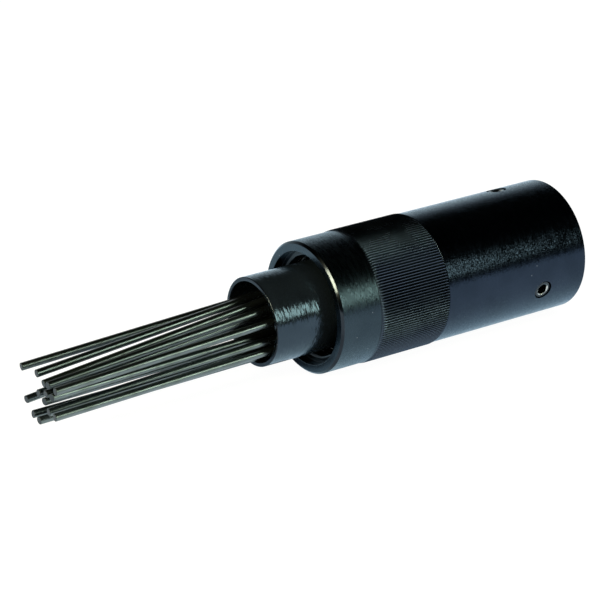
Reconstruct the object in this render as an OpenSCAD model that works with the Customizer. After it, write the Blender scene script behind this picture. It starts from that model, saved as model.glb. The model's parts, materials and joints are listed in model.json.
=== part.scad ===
// Needle scaler attachment for an air hammer.
// A bundle of loose steel needles hangs in a sprung nose tube. The hammer drives an anvil
// against the needle heads, and three set screws clamp the adapter on the hammer's barrel.
// The axis of the tool is X: the mouth of the socket is at the origin, the socket opens
// towards +X, and the needles stand out towards -X. All sizes are in millimetres.

/* [Adapter] */
// Outer diameter of the plain rear tube
body_d = 52; // [51:0.5:56]
// Length of the rear tube, from the socket's mouth to the knurled sleeve
adapter_l = 67.5; // [64:0.5:80]
// Diameter of the socket that takes the hammer's barrel
socket_d = 38; // [36:0.5:39]
// Depth of the socket
socket_l = 30; // [26:0.5:33]
// Diameter of the relief round the anvil's shank, for the barrel's narrow nose
relief_d = 30; // [26:0.5:32]
// Length of the threaded spigot that the sleeve screws on
spigot_l = 17; // [15:0.5:18]
// Bevel on the edges of the rear tube
edge_bevel = 0.5; // [0.2:0.1:0.8]

/* [Sleeve] */
// Length of the knurled front sleeve
sleeve_l = 50.5; // [49:0.5:58]
// Wall of the sleeve round its thread and its spring chamber
sleeve_wall = 2.95; // [2.6:0.05:3.2]
// Diameter of the shallow recess in the front face
mouth_d = 44.4; // [42:0.2:46]
// Depth of that recess
mouth_depth = 3.8; // [2.6:0.2:4.4]
// Thickness of the inner lip that holds the spring in
lip_t = 4; // [3:0.25:4.5]
// Bevel on the outer edge of the front face
front_bevel = 0.9; // [0.4:0.1:1.5]
// Length of the knurled band, from the sleeve's rear end
knurl_l = 32.5; // [20:0.5:40]
// How far the ridges of the knurl stand above the tube
knurl_rise = 0.34; // [0.32:0.02:0.5]
// Depth of the grooves between the ridges
knurl_depth = 0.3; // [0.2:0.02:0.3]
// Number of ridges in the knurl
knurl_n = 150; // [120:1:180]

/* [Nose tube] */
// Outer diameter of the nose tube
nose_d = 34.8; // [33.6:0.2:36]
// Wall of the nose tube
nose_wall = 1.6; // [1.2:0.1:1.8]
// How far the nose tube stands out of the sleeve
nose_out = 23.5; // [15:0.5:40]
// Gap between the nose tube and the sleeve's lip
lip_gap = 1.8; // [1.2:0.1:2.2]
// Thickness of the flange at the back of the spring chamber
flange_l = 5.5; // [4:0.5:6]
// How far the nose tube can be driven forward against its spring
nose_travel = 6; // [3:0.5:6]
// How much of the guide behind the flange then stays in the adapter
tail_hold = 4; // [3:0.5:5]

/* [Spring] */
// Diameter of the spring's wire
wire_d = 2.2; // [1.6:0.1:2.3]
// Number of curls in the spring
spring_curls = 3.75; // [3:0.25:4]
// Thickness of the washer that the spring bears on
washer_t = 1.5; // [1:0.1:2]

/* [Needles] */
// Diameter of a needle
needle_d = 3; // [2.6:0.1:3.2]
// Length of a needle with its head
needle_l = 150.5; // [138:0.5:180]
// Length of a needle's head
head_l = 3.2; // [2.6:0.1:3.8]
// How far a head stands out round its needle
head_step = 0.85; // [0.8:0.05:1]
// Difference between a hole in the holder and a needle
hole_play = 1.15; // [1.1:0.05:1.2]
// Thickness of the needle holder
holder_l = 10; // [8:0.5:10.5]
// How far a needle can be pushed back
needle_travel = 5; // [3:0.5:6]

/* [Anvil] */
// Diameter of the anvil's shank
shank_d = 10.2; // [9.6:0.1:12]
// Thickness of the anvil's head
anvil_head_l = 7; // [5.5:0.5:8]
// How far the anvil moves forward when it is struck
anvil_travel = 3.5; // [2:0.5:4]
// Thickness of the rubber recoil buffer
buffer_l = 7.6; // [6:0.2:8]
// Outer diameter of the buffer
buffer_d = 29; // [24:0.5:30]
// Length of the bush that guides the shank
guide_l = 10; // [8:0.5:11]

/* [Set screws] */
// Thread diameter of a set screw
screw_d = 8; // [6:0.5:9]
// Distance of the screws from the rear face
screw_inset = 20.5; // [12:0.5:22]
// How far a screw's outer end lies below the tube's surface
screw_recess = 0.4; // [0.2:0.1:1]
// How far a screw's inner end stays back from the socket's wall
screw_back = 0.6; // [0.4:0.1:1]
// Size across the flats of the screw's hexagon socket
key_d = 4; // [3:0.5:4]
// Depth of the hexagon socket
key_depth = 3; // [2:0.5:3.5]
// Direction of the first screw, from +Y towards +Z
screw_angle = 76; // [0:1:119]

/* [Hidden] */
// Number of set screws, evenly spaced
screw_n = 3;
// How far a cut runs past the face that it opens
overrun = 1;
// Gap between faces that rest on each other
seat_gap = 0.1;
// Gap between a free piece and the face that it comes to rest on
rest_gap = 0.3;
// Radial gap in the simplified threads
thread_gap = 0.15;
// Radial gap between the shank and its bush
running_gap = 0.05;
// Radial gap round pieces that are pushed into a bore
push_gap = 0.1;
// Radial gap between the flange and the sleeve
flange_gap = 0.45;
// Radial gap between the guide behind the flange and the adapter
tail_gap = 0.2;
// How much thicker the guide behind the flange is than the nose tube
tail_step = 0.9;
// Depth of the step in the nose tube that the holder rests on
seat_step = 0.5;
// How far the holder's rear face lies ahead of the flange's rear face
holder_lead = 1;
// Least gap between the nose tube and the spring
spring_gap = 0.4;
// Gap along the axis under a needle's head
head_gap = 0.5;
// Room between a needle in the outer ring and the nose tube's wall, where the bundle can sag
sag_room = 1.9;
// Least gap between the needle heads, pushed right back, and the anvil, driven right forward
strike_gap = 0.8;
// Room between the anvil's head and the bore that it moves in
anvil_room = 1.3;
// Gap between the buffer and the shank
buffer_gap = 0.5;
// How much thicker the shank is where the bush guides it
journal_step = 0.4;
// How far that thicker part stands out of the bush
journal_out = 1.2;
// How far the shank's end stays back from the socket's floor
shank_back = 0.5;
// Thickness of the circlips
clip_t = 1.2;
// How far a circlip goes into its groove
clip_bite = 0.6;
// How far a circlip stands out of its groove
clip_reach = 0.8;
// Width of the gap between a circlip's ends
clip_mouth = 8;
// Bevel on a needle's tip and on its head
needle_bevel = 0.3;
// Bevel on the edges of the nose tube, the holder and the washer
nose_bevel = 0.3;
// Bevel on the anvil's edges
anvil_bevel = 0.8;
// Bevel on the ends of a set screw
screw_bevel = 0.5;
// Depth below the tube's surface at which the knurled band is rooted
knurl_root = 1.2;

// Sections of the spring's tube in each curl
rings_per_curl = 8;
// Sides of each section
wire_sides = 6;
// Radius of the inner ring of holes, as a share of the outer ring's
inner_ring_share = 0.4;
// Direction of the first hole in the outer ring, from +Y towards +Z
outer_ring_angle = 33;
// Direction of the first hole in the inner ring
inner_ring_angle = 63;
// How far each tip of the outer ring lies to the side of its hole, as shares of the ring's radius
outer_side_shares = [0.3, -0.21, -0.06, 0.15, 0.02, 0.64, 0.05, 0.66, 0.47, -0.72, -0.73, -0.02];
// How far each tip of the outer ring sags below its hole, as shares of the ring's radius
outer_sag_shares = [0.57, 0.8, 1.11, 0.89, 0.51, 0.87, 0.36, 0.51, 0.31, -0.2, 0.05, 1.08];
// The same for the inner ring: to the side
inner_side_shares = [-0.45, -0.48];
// The same for the inner ring: down
inner_sag_shares = [0.73, -0.03];

// Radii
body_r = body_d / 2;
socket_r = socket_d / 2;
relief_r = relief_d / 2;
chamber_r = body_r - sleeve_wall;
spigot_r = chamber_r - thread_gap;
mouth_r = mouth_d / 2;
nose_r = nose_d / 2;
nose_bore_r = nose_r - nose_wall;
lip_r = nose_r + lip_gap;
flange_r = chamber_r - flange_gap;
tail_r = nose_r + tail_step;
cavity_r = tail_r + tail_gap;
seat_r = nose_bore_r + seat_step;
wire_r = wire_d / 2;
spring_r = (nose_r + spring_gap) / cos(180 / rings_per_curl) + wire_r;
needle_r = needle_d / 2;
head_r = needle_r + head_step;
hole_r = (needle_d + hole_play) / 2;
outer_ring_r = nose_bore_r - needle_r - sag_room;
inner_ring_r = inner_ring_share * outer_ring_r;
shank_r = shank_d / 2;
journal_r = shank_r + journal_step;
anvil_head_r = seat_r - anvil_room;
buffer_r = buffer_d / 2;
screw_r = screw_d / 2;

// Places along the axis, from the sleeve's front face to the socket
sleeve_rear_x = -adapter_l;
sleeve_front_x = sleeve_rear_x - sleeve_l;
knurl_front_x = sleeve_rear_x - knurl_l;
lip_front_x = sleeve_front_x + mouth_depth;
lip_rear_x = lip_front_x + lip_t;
washer_front_x = lip_rear_x + seat_gap;
washer_rear_x = washer_front_x + washer_t;
spigot_front_x = sleeve_rear_x - spigot_l;
nose_front_x = sleeve_front_x - nose_out;
flange_rear_x = spigot_front_x - seat_gap;
flange_front_x = flange_rear_x - flange_l;
tail_rear_x = flange_rear_x + nose_travel + tail_hold;
holder_rear_x = flange_rear_x - holder_lead;
holder_front_x = holder_rear_x - holder_l;
holder_mid_x = holder_rear_x - holder_l / 2;
holder_clip_x = holder_rear_x + seat_gap;
heads_rear_x = holder_rear_x + head_gap + head_l;
anvil_front_x = heads_rear_x + needle_travel + anvil_travel + strike_gap;
anvil_rear_x = anvil_front_x + anvil_head_l;
buffer_front_x = anvil_rear_x + rest_gap;
guide_front_x = buffer_front_x + buffer_l + seat_gap;
guide_clip_x = guide_front_x - seat_gap - clip_t;
shoulder_x = guide_front_x + guide_l;
socket_floor_x = -socket_l;
journal_rear_x = shoulder_x + journal_out;
shank_rear_x = socket_floor_x - shank_back;
screw_x = -screw_inset;

// Needles: places of the holes, and the lean of each needle from its hole to its tip
outer_n = len(outer_side_shares);
inner_n = len(inner_side_shares);
needle_n = outer_n + inner_n;
tip_span = needle_l - head_l - head_gap - holder_l / 2;
outer_holes = [for (i = [0 : outer_n - 1]) ring_place(outer_ring_r, outer_ring_angle + 360 * i / outer_n)];
inner_holes = [for (i = [0 : inner_n - 1]) ring_place(inner_ring_r, inner_ring_angle + 360 * i / inner_n)];
holes = concat(outer_holes, inner_holes);
side_shares = concat(outer_side_shares, inner_side_shares);
sag_shares = concat(outer_sag_shares, inner_sag_shares);
leans = [
    for (i = [0 : needle_n - 1])
        [tip_span, -side_shares[i] * outer_ring_r, sag_shares[i] * outer_ring_r]
];

// Spring: one tube along a helix between the washer and the flange
spring_front_x = washer_rear_x + seat_gap + wire_r;
spring_rear_x = flange_front_x - seat_gap - wire_r;
spring_steps = ceil(spring_curls * rings_per_curl);
spring_path = [
    for (i = [0 : spring_steps])
        let (t = i / spring_steps, a = 360 * spring_curls * t)
            [spring_front_x + (spring_rear_x - spring_front_x) * t, spring_r * cos(a), spring_r * sin(a)]
];
spring_least_gap = min([
    for (i = [0 : spring_steps])
        for (j = [i + rings_per_curl / 2 : 1 : spring_steps])
            norm(spring_path[i] - spring_path[j])
]) - wire_d;
echo(spring_least_gap = spring_least_gap);

$fn = 96;

function screw_name(i) = str("set_screw_", i);
function needle_name(i) = str("needle_", i < 10 ? "0" : "", i);
function ring_place(r, a) = [r * cos(a), r * sin(a)];

// Turns an outline of [place along X, radius] points into a solid round the X axis
module turned(outline) {
    rotate([0, 90, 0])
        rotate_extrude()
            polygon([for (p = outline) [p[1], p[0]]]);
}

// A plain ring between two places and two radii, with bevelled outer edges
module ring(front_x, rear_x, inner_r, outer_r, bevel = 0) {
    turned([
        [front_x, inner_r],
        [front_x, outer_r - bevel],
        [front_x + bevel, outer_r],
        [rear_x - bevel, outer_r],
        [rear_x, outer_r - bevel],
        [rear_x, inner_r]
    ]);
}

// A circlip in the groove of a bore: a ring that is open at the bottom
module circlip(front_x, bore_r) {
    difference() {
        ring(front_x, front_x + clip_t, bore_r - clip_reach, bore_r + clip_bite);
        translate([front_x - overrun, -clip_mouth / 2, -bore_r - clip_bite - overrun])
            cube([clip_t + 2 * overrun, clip_mouth, clip_bite + clip_reach + 2 * overrun]);
    }
}

// Outline points of the groove that such a circlip sits in, from front to rear
function clip_groove(front_x, bore_r) = [
    [front_x - seat_gap, bore_r],
    [front_x - seat_gap, bore_r + clip_bite + push_gap],
    [front_x + clip_t + seat_gap, bore_r + clip_bite + push_gap],
    [front_x + clip_t + seat_gap, bore_r]
];

// Places something that is made along +Z in the direction of one set screw
module at_screw(i) {
    translate([screw_x, 0, 0])
        rotate([screw_angle + 360 * (i - 1) / screw_n - 90, 0, 0])
            children();
}

module adapter_body() {
    color("#23262b")
        difference() {
            turned(concat(
                [
                    [0, socket_r],
                    [0, body_r - edge_bevel],
                    [-edge_bevel, body_r],
                    [sleeve_rear_x + edge_bevel, body_r],
                    [sleeve_rear_x, body_r - edge_bevel],
                    [sleeve_rear_x, spigot_r],
                    [spigot_front_x + edge_bevel, spigot_r],
                    [spigot_front_x, spigot_r - edge_bevel],
                    [spigot_front_x, cavity_r]
                ],
                clip_groove(guide_clip_x, cavity_r),
                [
                    [shoulder_x, cavity_r],
                    [shoulder_x, relief_r],
                    [socket_floor_x, relief_r],
                    [socket_floor_x, socket_r]
                ]
            ));
            for (i = [1 : screw_n])
                at_screw(i)
                    cylinder(h = body_r + overrun, r = screw_r);
        }
}

module anvil_guide() {
    color("#8a6f3c")
        ring(guide_front_x, shoulder_x - seat_gap, journal_r + running_gap, cavity_r - push_gap, nose_bevel);
}

module guide_circlip() {
    color("#3a3d40")
        circlip(guide_clip_x, cavity_r);
}

module recoil_buffer() {
    color("#141414")
        ring(buffer_front_x, buffer_front_x + buffer_l, journal_r + buffer_gap, buffer_r, nose_bevel);
}

module anvil() {
    color("#4a4d50")
        turned([
            [anvil_front_x, 0],
            [anvil_front_x, anvil_head_r - anvil_bevel],
            [anvil_front_x + anvil_bevel, anvil_head_r],
            [anvil_rear_x - anvil_bevel, anvil_head_r],
            [anvil_rear_x, anvil_head_r - anvil_bevel],
            [anvil_rear_x, journal_r],
            [journal_rear_x, journal_r],
            [journal_rear_x, shank_r],
            [shank_rear_x - anvil_bevel, shank_r],
            [shank_rear_x, shank_r - anvil_bevel],
            [shank_rear_x, 0]
        ]);
}

// The star-shaped band of straight ridges
module knurl_band() {
    step = 180 / knurl_n;
    translate([knurl_front_x, 0, 0])
        rotate([90, 0, 90])
            linear_extrude(knurl_l)
                polygon([
                    for (i = [0 : 2 * knurl_n - 1])
                        ring_place(body_r + knurl_rise - (i % 2) * knurl_depth, i * step)
                ]);
}

module front_sleeve() {
    color("#23262b")
        union() {
            turned([
                [sleeve_front_x, mouth_r],
                [sleeve_front_x, body_r - front_bevel],
                [sleeve_front_x + front_bevel, body_r],
                [knurl_front_x, body_r],
                [knurl_front_x, body_r - knurl_root],
                [sleeve_rear_x, body_r - knurl_root],
                [sleeve_rear_x, chamber_r],
                [lip_rear_x, chamber_r],
                [lip_rear_x, lip_r],
                [lip_front_x, lip_r],
                [lip_front_x, mouth_r]
            ]);
            difference() {
                knurl_band();
                translate([knurl_front_x - overrun, 0, 0])
                    rotate([0, 90, 0])
                        cylinder(h = knurl_l + 2 * overrun, r = (chamber_r + body_r - knurl_root) / 2);
            }
        }
}

module spring_washer() {
    color("#3a3d40")
        ring(washer_front_x, washer_rear_x, lip_r, chamber_r - flange_gap, nose_bevel);
}

module nose_spring() {
    last = len(spring_path) - 1;
    points = [
        for (p = spring_path)
            for (k = [0 : wire_sides - 1])
                let (w = 360 * k / wire_sides, out = 1 + wire_r * cos(w) / spring_r)
                    [p[0] + wire_r * sin(w), p[1] * out, p[2] * out]
    ];
    sides = [
        for (i = [0 : last - 1])
            for (k = [0 : wire_sides - 1])
                let (a = i * wire_sides + k, b = i * wire_sides + (k + 1) % wire_sides)
                    each [[a, b, b + wire_sides], [a, b + wire_sides, a + wire_sides]]
    ];
    front_cap = [for (k = [1 : wire_sides - 2]) [0, k + 1, k]];
    end = last * wire_sides;
    rear_cap = [for (k = [1 : wire_sides - 2]) [end, end + k, end + k + 1]];
    color("#55585a")
        polyhedron(points, concat(sides, front_cap, rear_cap));
}

module nose_tube() {
    color("#26292d")
        turned(concat(
            [
                [nose_front_x, nose_bore_r],
                [nose_front_x, nose_r - nose_bevel],
                [nose_front_x + nose_bevel, nose_r],
                [flange_front_x, nose_r],
                [flange_front_x, flange_r],
                [flange_rear_x, flange_r],
                [flange_rear_x, tail_r],
                [tail_rear_x, tail_r],
                [tail_rear_x, seat_r]
            ],
            [for (i = [3 : -1 : 0]) clip_groove(holder_clip_x, seat_r)[i]],
            [
                [holder_front_x, seat_r],
                [holder_front_x, nose_bore_r]
            ]
        ));
}

module needle_holder() {
    color("#303336")
        difference() {
            turned([
                [holder_front_x + seat_gap, 0],
                [holder_front_x + seat_gap, seat_r - push_gap - nose_bevel],
                [holder_front_x + seat_gap + nose_bevel, seat_r - push_gap],
                [holder_rear_x - nose_bevel, seat_r - push_gap],
                [holder_rear_x, seat_r - push_gap - nose_bevel],
                [holder_rear_x, 0]
            ]);
            for (place = holes)
                translate([holder_front_x - overrun, place[0], place[1]])
                    rotate([0, 90, 0])
                        cylinder(h = holder_l + 2 * overrun, r = hole_r);
        }
}

module holder_circlip() {
    color("#3a3d40")
        circlip(holder_clip_x, seat_r);
}

// A hexagon-socket set screw with its outer end just below the tube's surface
module set_screw(i) {
    outer_end = body_r - screw_recess;
    inner_end = socket_r + screw_back;
    shaft_r = screw_r - running_gap;
    color("#1b1d20")
        at_screw(i)
            difference() {
                rotate_extrude()
                    polygon([
                        [0, inner_end],
                        [shaft_r - screw_bevel, inner_end],
                        [shaft_r, inner_end + screw_bevel],
                        [shaft_r, outer_end - screw_bevel],
                        [shaft_r - screw_bevel, outer_end],
                        [0, outer_end]
                    ]);
                translate([0, 0, outer_end - key_depth])
                    cylinder(h = key_depth + overrun, r = key_d / 2 / cos(30), $fn = 6);
            }
}

// One needle, lying through its hole with the lean that leads to its own tip
module needle(i) {
    place = holes[i - 1];
    lean = leans[i - 1];
    neck_x = holder_l / 2 + head_gap;
    rear_x = neck_x + head_l;
    tip_x = rear_x - needle_l;
    color("#3d423f")
        translate([holder_mid_x, place[0], place[1]])
            rotate([0, -asin(lean[2] / norm(lean)), atan2(lean[1], lean[0])])
                turned([
                    [tip_x, 0],
                    [tip_x, needle_r - needle_bevel],
                    [tip_x + needle_bevel, needle_r],
                    [neck_x, needle_r],
                    [neck_x, head_r],
                    [rear_x - needle_bevel, head_r],
                    [rear_x, head_r - needle_bevel],
                    [rear_x, 0]
                ]);
}

adapter_body();
anvil_guide();
guide_circlip();
recoil_buffer();
anvil();
front_sleeve();
spring_washer();
nose_spring();
nose_tube();
needle_holder();
holder_circlip();
for (i = [1 : screw_n])
    set_screw(i);
for (i = [1 : needle_n])
    needle(i);
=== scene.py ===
# %% [markdown]
# # Needle scaler attachment
#
# The object is a steel head that clamps on the barrel of an air hammer: a plain rear tube, a knurled
# sleeve, a sprung nose tube and a bundle of loose needles. Almost every piece was turned on a lathe, so
# most of this lesson is about turned shapes, and about how blackened steel looks when it mirrors a white
# table.
#
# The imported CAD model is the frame. It gives the place and size of every piece, in metres. Its meshes
# could be shown as they are, but their facets and knife-sharp edges would spoil the reflections, so finer
# pieces stand for them below.

# %% Load the frame
import cmath
import json
import math
from random import Random

import bmesh
import bpy
from mathutils import Matrix, Quaternion, Vector, noise


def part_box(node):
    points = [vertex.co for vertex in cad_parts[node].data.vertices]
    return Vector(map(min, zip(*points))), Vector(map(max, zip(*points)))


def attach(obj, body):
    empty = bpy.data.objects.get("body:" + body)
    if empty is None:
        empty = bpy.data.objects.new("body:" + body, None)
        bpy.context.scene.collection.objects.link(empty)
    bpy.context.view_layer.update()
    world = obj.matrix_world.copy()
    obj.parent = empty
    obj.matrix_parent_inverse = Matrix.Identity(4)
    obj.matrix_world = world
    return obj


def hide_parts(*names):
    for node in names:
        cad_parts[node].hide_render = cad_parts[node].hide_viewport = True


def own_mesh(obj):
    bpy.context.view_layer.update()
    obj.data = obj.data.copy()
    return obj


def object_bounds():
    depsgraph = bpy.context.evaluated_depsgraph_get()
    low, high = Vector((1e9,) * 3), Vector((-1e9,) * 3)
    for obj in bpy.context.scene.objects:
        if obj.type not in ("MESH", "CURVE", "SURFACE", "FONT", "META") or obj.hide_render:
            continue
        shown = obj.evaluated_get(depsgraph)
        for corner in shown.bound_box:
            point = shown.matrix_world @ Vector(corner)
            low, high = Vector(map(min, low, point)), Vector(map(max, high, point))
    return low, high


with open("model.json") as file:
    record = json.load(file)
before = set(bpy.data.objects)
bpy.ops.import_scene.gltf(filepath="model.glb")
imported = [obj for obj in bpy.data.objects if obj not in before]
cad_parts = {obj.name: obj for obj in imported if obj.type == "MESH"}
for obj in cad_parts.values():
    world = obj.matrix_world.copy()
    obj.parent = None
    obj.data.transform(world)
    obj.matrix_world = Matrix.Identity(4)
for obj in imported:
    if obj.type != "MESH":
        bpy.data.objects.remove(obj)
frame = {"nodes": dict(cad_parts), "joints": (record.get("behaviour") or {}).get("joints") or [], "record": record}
cad_box = [list(corner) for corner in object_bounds()]
MM = 0.001
scene = bpy.context.scene
scene.view_settings.view_transform = "Standard"
print("CAD nodes:", len(frame["nodes"]), "box:", cad_box)

# %% [markdown]
# ## Camera
#
# The photograph looks down on the needle end from the left. A camera could be set by eye, but here its
# focal length and place come from a fit to the outlines and end circles of the tubes. Its azimuth is
# measured from the view along +Y, its elevation from the horizon. There is no roll and no shift.

# %% Camera
PHOTO_PX = 600
FOCAL_PX = 2600
SENSOR_MM = 36
AZIMUTH = math.radians(-34.5)
ELEVATION = math.radians(23.07)
CAMERA_AT = Vector((-0.6334, -0.7478, 0.3902))

camera_data = bpy.data.cameras.new("photo_camera")
camera_data.sensor_width = SENSOR_MM
camera_data.lens = SENSOR_MM * FOCAL_PX / PHOTO_PX
camera = bpy.data.objects.new("photo_camera", camera_data)
camera_back = Vector((
    math.sin(AZIMUTH) * math.cos(ELEVATION),
    -math.cos(AZIMUTH) * math.cos(ELEVATION),
    math.sin(ELEVATION),
))
camera.location = CAMERA_AT
camera.rotation_mode = "QUATERNION"
camera.rotation_quaternion = (-camera_back).to_track_quat("-Z", "Y")
scene.collection.objects.link(camera)
scene.camera = camera
print("lens:", camera_data.lens, "mm")

# %% [markdown]
# ## Helpers for nodes
#
# Materials are written as nodes. One helper adds a node, sets its options and fills its inputs with
# values or links, which keeps each material short. Others start a node group with named sockets, place a
# finished group in a material, and do sums, mixes and ranges.

# %% Helpers for nodes
def place(tree, kind, inputs=None, **options):
    """Adds a node. Inputs are given by name or number, as values or as sockets to link from."""
    node = tree.nodes.new(kind)
    for option, value in options.items():
        setattr(node, option, value)
    for name, value in (inputs or {}).items():
        if isinstance(value, bpy.types.NodeSocket):
            tree.links.new(value, node.inputs[name])
        else:
            node.inputs[name].default_value = value
    return node


def new_group(name, inputs, outputs):
    """Starts a shader node group of float sockets and returns it with its input node."""
    group = bpy.data.node_groups.new(name, "ShaderNodeTree")
    for label, value in inputs.items():
        socket = group.interface.new_socket(label, in_out="INPUT", socket_type="NodeSocketFloat")
        socket.default_value = value
    for label in outputs:
        group.interface.new_socket(label, in_out="OUTPUT", socket_type="NodeSocketFloat")
    return group, group.nodes.new("NodeGroupInput").outputs


def use(tree, group, **values):
    """Places a group in a material, with its own values, and returns its outputs."""
    inputs = {label.replace("_", " "): value for label, value in values.items()}
    return place(tree, "ShaderNodeGroup", inputs, node_tree=group).outputs


print("node helpers ready")

# %% Sums, mixes and ranges
NOISE_LOW, NOISE_HIGH = 0.3, 0.7


def calc(tree, operation, *values):
    """A number worked out from other numbers."""
    return place(tree, "ShaderNodeMath", dict(enumerate(values)), operation=operation).outputs[0]


def vector_calc(tree, operation, *values):
    """A vector worked out from other vectors."""
    return place(tree, "ShaderNodeVectorMath", dict(enumerate(values)), operation=operation).outputs[0]


def blend(tree, share, low, high):
    """Mixes two colours by a mask."""
    return place(tree, "ShaderNodeMix", {"Factor": share, 6: low, 7: high}, data_type="RGBA").outputs[2]


def between(tree, value, low, high, start=0.0, end=1.0):
    """Maps a value from start and end to low and high."""
    inputs = {"Value": value, "From Min": start, "From Max": end, "To Min": low, "To Max": high}
    return place(tree, "ShaderNodeMapRange", inputs, interpolation_type="SMOOTHSTEP").outputs["Result"]


def spread(tree, noise_value, low, high):
    """Maps the range that a noise seldom leaves to low and high."""
    return between(tree, noise_value, low, high, start=NOISE_LOW, end=NOISE_HIGH)


print("a noise is spread from", NOISE_LOW, "to", NOISE_HIGH)

# %% [markdown]
# ## Studio
#
# The photograph is a cut-out on white. Black, smooth steel shows little of its own colour: what it mirrors
# makes the picture. The long sharp line on the tubes is the edge of a white table, mirrored in front. The
# light strip along the top is the white backdrop behind, and the glittering band is one soft light at the
# front right. A narrow strip light at the left draws the bright line on the sleeve's bevel. Everything
# else round the camera was dark.
#
# So the floor is white to the camera and to mirror rays and still takes a faint shadow, and the world is
# white to the camera but dark at the front and overhead for other rays. The floor's glow takes no shadow,
# so for mirror rays a soft mask darkens it where the nose stands over it, close to the sleeve's mouth.

# %% Floor
FLOOR_REACH = 30
FLOOR_SIDES = 64
FLOOR_GREY = (0.8, 0.8, 0.8, 1)
WHITE = (1, 1, 1, 1)
SEEN_SHADE, SEEN_LIGHT, SEEN_GLOW = (0.1, 0.1, 0.1, 1), WHITE, 0.97
MIRROR_SHADE, MIRROR_LIGHT, MIRROR_GLOW = (0.5, 0.52, 0.62, 1), (0.7, 0.88, 1, 1), 0.8
UNDER_NOSE = (-0.128, 0.011, 0)
UNDER_REACH = (0.011, 0.013, 1)
UNDER_CORE, UNDER_END = 0.75, 1.05
UNDER_LIGHT = (0.06, 0.08, 0.1, 1)


def any_ray(tree, *kinds):
    """A mask that is 1 for the named kinds of rays."""
    path = place(tree, "ShaderNodeLightPath")
    mask = path.outputs[kinds[0]]
    for kind in kinds[1:]:
        mask = calc(tree, "MAXIMUM", mask, path.outputs[kind])
    return mask


def under_nose(tree):
    """A mask for the patch of table that the nose shades, by the sleeve's mouth."""
    where = place(tree, "ShaderNodeTexCoord").outputs["Object"]
    shares = vector_calc(tree, "DIVIDE", vector_calc(tree, "SUBTRACT", where, UNDER_NOSE), UNDER_REACH)
    distance = place(tree, "ShaderNodeVectorMath", {0: shares}, operation="LENGTH").outputs["Value"]
    return between(tree, distance, 1, 0, start=UNDER_CORE, end=UNDER_END)


def table_paper():
    """Grey paper for the light that it sends back, and glowing paper for the eye and the mirror."""
    material = bpy.data.materials.new("table_paper")
    material.use_nodes = True
    material.cycles.emission_sampling = "NONE"
    tree = material.node_tree
    tree.nodes.clear()
    mixed = place(tree, "ShaderNodeBsdfDiffuse", {"Color": FLOOR_GREY})
    mirror_light = blend(tree, under_nose(tree), MIRROR_LIGHT, UNDER_LIGHT)
    for kinds, shade, light_colour, glow in (
        (["Is Glossy Ray"], MIRROR_SHADE, mirror_light, MIRROR_GLOW),
        (["Is Camera Ray", "Is Transmission Ray"], SEEN_SHADE, SEEN_LIGHT, SEEN_GLOW),
    ):
        paper = place(tree, "ShaderNodeBsdfDiffuse", {"Color": shade})
        light = place(tree, "ShaderNodeEmission", {"Color": light_colour, "Strength": glow})
        bright = place(tree, "ShaderNodeAddShader", {0: paper.outputs[0], 1: light.outputs[0]})
        seen = any_ray(tree, *kinds)
        mixed = place(tree, "ShaderNodeMixShader", {0: seen, 1: mixed.outputs[0], 2: bright.outputs[0]})
    place(tree, "ShaderNodeOutputMaterial", {"Surface": mixed.outputs[0]})
    return material


floor_mesh = bmesh.new()
bmesh.ops.create_circle(floor_mesh, cap_ends=True, segments=FLOOR_SIDES, radius=FLOOR_REACH)
floor_data = bpy.data.meshes.new("floor")
floor_mesh.to_mesh(floor_data)
floor_mesh.free()
floor = bpy.data.objects.new("floor", floor_data)
floor.location.z = cad_box[0][2]
floor_data.materials.append(table_paper())
scene.collection.objects.link(floor)
print("floor at z =", round(floor.location.z, 4))

# %% World
BACKDROP = (0.95, 1, 1, 1)
DARK_ROOM = (0.004, 0.006, 0.006, 1)
BACKDROP_SIDES = (-0.05, 0.25)
BACKDROP_TOP = (0.15, 0.6)

world = bpy.data.worlds.new("dark_studio")
world.use_nodes = True
scene.world = world
sky = world.node_tree
sky.nodes.clear()
direction = place(sky, "ShaderNodeSeparateXYZ", {0: place(sky, "ShaderNodeTexCoord").outputs["Generated"]})
behind = between(sky, direction.outputs["Y"], 0, 1, *BACKDROP_SIDES)
low = between(sky, direction.outputs["Z"], 1, 0, *BACKDROP_TOP)
mirrored = blend(sky, calc(sky, "MULTIPLY", behind, low), DARK_ROOM, BACKDROP)
straight = any_ray(sky, "Is Camera Ray", "Is Transmission Ray")
background = place(sky, "ShaderNodeBackground", {"Color": blend(sky, straight, mirrored, WHITE)})
place(sky, "ShaderNodeOutputWorld", {"Surface": background.outputs[0]})
print("world ready")

# %% Lamps
AIM = Vector((-0.1, 0, 0))
GREENISH = (0.86, 1, 0.78)
CREAM = (1, 0.93, 0.58)
STRIP_ROLL = math.radians(-44)


def soft_light(name, place_at, width, height, brightness, colour=(1, 1, 1), roll=0.0, mirrored=True):
    """A rectangular lamp whose face has the given brightness, aimed at the object and rolled."""
    data = bpy.data.lights.new(name, "AREA")
    data.shape = "RECTANGLE"
    data.size, data.size_y = width, height
    data.energy = brightness * math.pi * width * height
    data.color = colour
    lamp = bpy.data.objects.new(name, data)
    lamp.location = place_at
    lamp.rotation_mode = "QUATERNION"
    aimed = (AIM - lamp.location).to_track_quat("-Z", "Y")
    lamp.rotation_quaternion = aimed @ Quaternion((0, 0, 1), roll)
    lamp.visible_camera = False
    lamp.visible_glossy = mirrored
    scene.collection.objects.link(lamp)


soft_light("front_box", Vector((0.303, -0.85, 0.39)), width=0.25, height=0.36, brightness=10, colour=GREENISH)
soft_light(
    "left_strip", Vector((-0.93, -0.22, 0.56)), width=0.52, height=0.14, brightness=70,
    colour=CREAM, roll=STRIP_ROLL,
)
soft_light("overhead", Vector((-0.1, -0.5, 1.2)), width=1.2, height=1.2, brightness=2.4, mirrored=False)

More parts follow.
